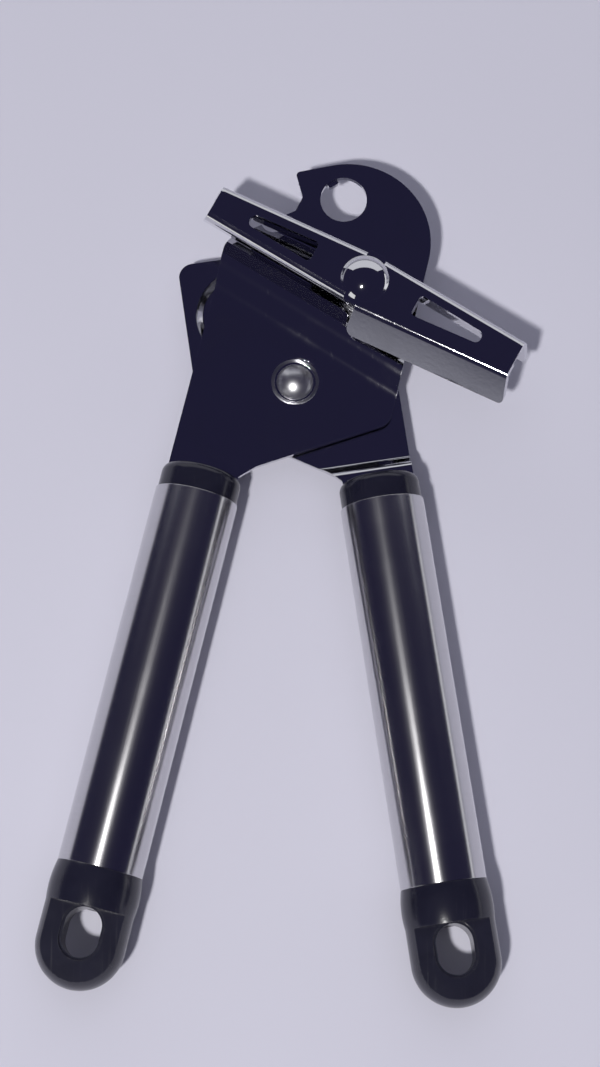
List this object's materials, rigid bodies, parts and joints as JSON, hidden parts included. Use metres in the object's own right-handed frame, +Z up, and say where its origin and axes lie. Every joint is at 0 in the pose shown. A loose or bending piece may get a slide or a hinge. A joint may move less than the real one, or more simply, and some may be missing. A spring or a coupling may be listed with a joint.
{
  "type": "manual can opener",
  "caption": "Hand can and bottle opener: crossed pressed levers, butterfly turn key driving a toothed wheel, cutter wheel, round tube handles with black ends.",
  "frame": {"origin": "bottom centre of the whole opener's box, lying on its back with the handles open", "axes": "+X to the right handle's side, +Y from the hanging ends to the head, +Z up towards the turn key"},
  "size_m": [0.1144, 0.2018, 0.0279],
  "materials": {
    "lever_chrome": "mirror bright plated pressed sheet",
    "key_chrome": "mirror bright plated pressed sheet",
    "rivet_steel": "bright plated turned steel",
    "hard_steel": "ground hardened steel",
    "tube_steel": "polished stainless tube",
    "black_plastic": "smooth moulded black"
  },
  "bodies": {
    "left_side": {"front_lever": "lever_chrome", "pivot_rivet": "rivet_steel", "pivot_washer": "rivet_steel", "spindle_bushing": "rivet_steel", "left_collar": "black_plastic", "left_tube": "tube_steel", "left_end_cap": "black_plastic"},
    "right_side": {"rear_lever": "lever_chrome", "cutter_stud": "rivet_steel", "cutter_washer": "rivet_steel", "right_collar": "black_plastic", "right_tube": "tube_steel", "right_end_cap": "black_plastic"},
    "key_set": {"turn_key": "key_chrome", "key_hub": "rivet_steel", "spindle": "rivet_steel", "spindle_washer": "rivet_steel", "feed_wheel": "hard_steel", "feed_washer": "rivet_steel"},
    "cutter": {"cutter_wheel": "hard_steel"}
  },
  "joints": [
    {"name": "handle_pivot", "type": "hinge", "parent": "left_side", "child": "right_side", "pos_m": [0.00191, 0.04668, 0.009], "axis": [0, 0, 1], "range_deg": [-22.1, 4]},
    {"name": "key_spin", "type": "hinge", "parent": "left_side", "child": "key_set", "pos_m": [0.01846, 0.06788, 0.01485], "axis": [0, 0, 1], "continuous": true},
    {"name": "cutter_spin", "type": "hinge", "parent": "right_side", "child": "cutter", "pos_m": [-0.00664, 0.06664, 0.0032], "axis": [0, 0, 1], "continuous": true}
  ]
}
